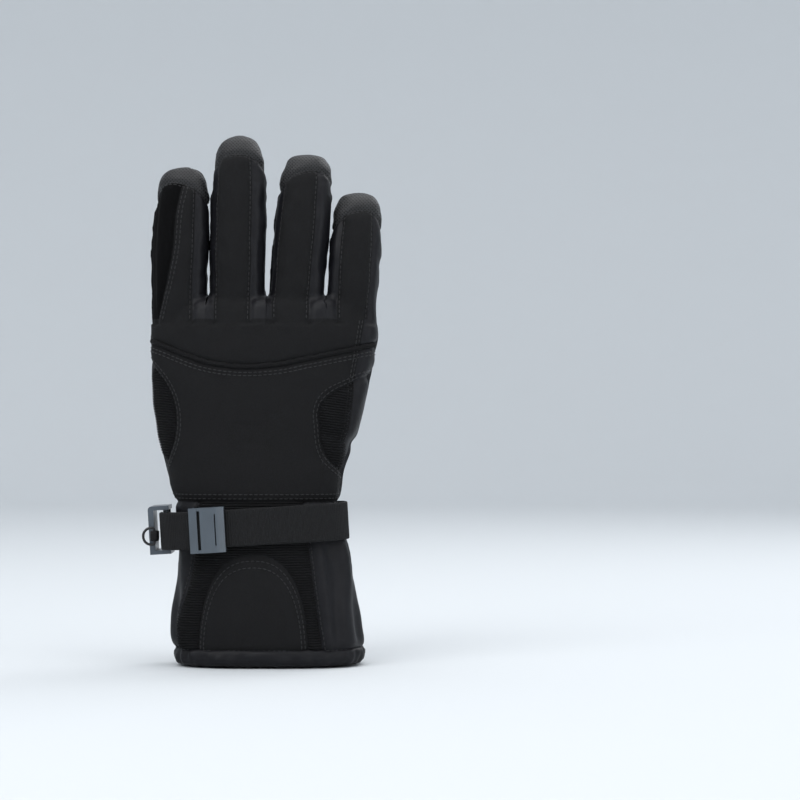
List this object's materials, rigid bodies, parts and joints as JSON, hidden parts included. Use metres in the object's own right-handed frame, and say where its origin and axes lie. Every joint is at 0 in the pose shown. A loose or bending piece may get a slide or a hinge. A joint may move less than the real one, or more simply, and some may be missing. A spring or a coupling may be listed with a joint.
{
  "type": "ski glove",
  "caption": "Right-hand insulated ski glove with softshell back, nylon fingers, dotted grip palm, ribbed cuff and a webbing wrist strap.",
  "frame": {"origin": "bottom centre of the glove standing on its cuff hem", "axes": "+Z from the cuff to the fingertips, -Y the back of the hand, +Y the palm, -X the thumb side"},
  "size_m": [0.1315, 0.0826, 0.285],
  "materials": {
    "softshell": "matte",
    "nylon": "satin",
    "rib_knit": "matte",
    "grip": "satin",
    "suede": "matte",
    "padding": "matte",
    "fleece": "matte",
    "elastic": "matte",
    "piping": "matte",
    "webbing": "matte",
    "buckle_plastic": "satin",
    "ring_metal": "satin"
  },
  "bodies": {
    "glove": {"hem_binding": "nylon", "cuff_rib_panel": "rib_knit", "cuff_centre_panel": "softshell", "cuff_side_panels": "nylon", "cuff_palm_panel": "nylon", "cuff_insulation": "padding", "cuff_lining": "fleece", "wrist_elastic": "elastic", "knuckle_panel": "softshell", "lower_back_panel": "softshell", "knuckle_piping": "piping", "rib_gussets": "rib_knit", "outer_side_panel": "nylon", "palm_panel": "nylon", "palm_grip_panel": "grip", "thumb_base_panel": "grip", "finger_web": "nylon", "hand_insulation": "padding", "hand_lining": "fleece", "thumb_collar": "nylon", "finger_creases": "nylon", "wrist_strap": "webbing", "strap_return": "webbing", "side_buckle": "buckle_plastic", "buckle_anchor": "webbing", "ring_tab": "webbing"},
    "ring_link": {"clip_ring": "ring_metal"},
    "adjuster": {"strap_adjuster": "buckle_plastic"},
    "thumb": {"thumb_patch": "suede", "thumb_front_panel": "nylon", "thumb_gusset": "nylon", "thumb_back_panel": "nylon", "thumb_insulation": "padding", "thumb_lining": "fleece"},
    "index": {"index_back": "softshell", "index_sides": "nylon", "index_palm": "nylon", "index_tip_cap": "grip", "index_insulation": "padding", "index_lining": "fleece", "index_suede_panel": "suede"},
    "middle": {"middle_back": "softshell", "middle_sides": "nylon", "middle_palm": "nylon", "middle_tip_cap": "grip", "middle_insulation": "padding", "middle_lining": "fleece"},
    "ring": {"ring_back": "softshell", "ring_sides": "nylon", "ring_palm": "nylon", "ring_tip_cap": "grip", "ring_insulation": "padding", "ring_lining": "fleece"},
    "little": {"little_back": "softshell", "little_sides": "nylon", "little_palm": "nylon", "little_tip_cap": "grip", "little_insulation": "padding", "little_lining": "fleece"}
  },
  "joints": [
    {"name": "index_fold", "type": "hinge", "parent": "glove", "child": "index", "pos_m": [-0.0459, -0.011, 0.196], "axis": [-1, 0, 0], "range_deg": [0, 45], "stiffness_Nm_per_rad": 0.08, "deforming": ["finger_creases"]},
    {"name": "middle_fold", "type": "hinge", "parent": "glove", "child": "middle", "pos_m": [-0.0141, -0.011, 0.196], "axis": [-1, 0, 0], "range_deg": [0, 45], "stiffness_Nm_per_rad": 0.08, "deforming": ["finger_creases"]},
    {"name": "ring_fold", "type": "hinge", "parent": "glove", "child": "ring", "pos_m": [0.01785, -0.011, 0.196], "axis": [-1, 0, 0], "range_deg": [0, 45], "stiffness_Nm_per_rad": 0.08, "deforming": ["finger_creases"]},
    {"name": "little_fold", "type": "hinge", "parent": "glove", "child": "little", "pos_m": [0.0486, -0.011, 0.196], "axis": [-1, 0, 0], "range_deg": [0, 45], "stiffness_Nm_per_rad": 0.08, "deforming": ["finger_creases"]},
    {"name": "thumb_swing", "type": "hinge", "parent": "glove", "child": "thumb", "pos_m": [-0.0205, 0.0272, 0.112], "axis": [0, -1, 0], "range_deg": [0, 45], "stiffness_Nm_per_rad": 0.1},
    {"name": "adjuster_slide", "type": "slide", "parent": "glove", "child": "adjuster", "axis": [0.9982, 0, 0.0593], "range_m": [0, 0.034], "deforming": ["strap_return"]},
    {"name": "ring_swing", "type": "hinge", "parent": "glove", "child": "ring_link", "pos_m": [-0.05766, -0.022, 0.06917], "axis": [-0.0593, 0, 0.9982], "range_deg": [-35, 80]}
  ]
}
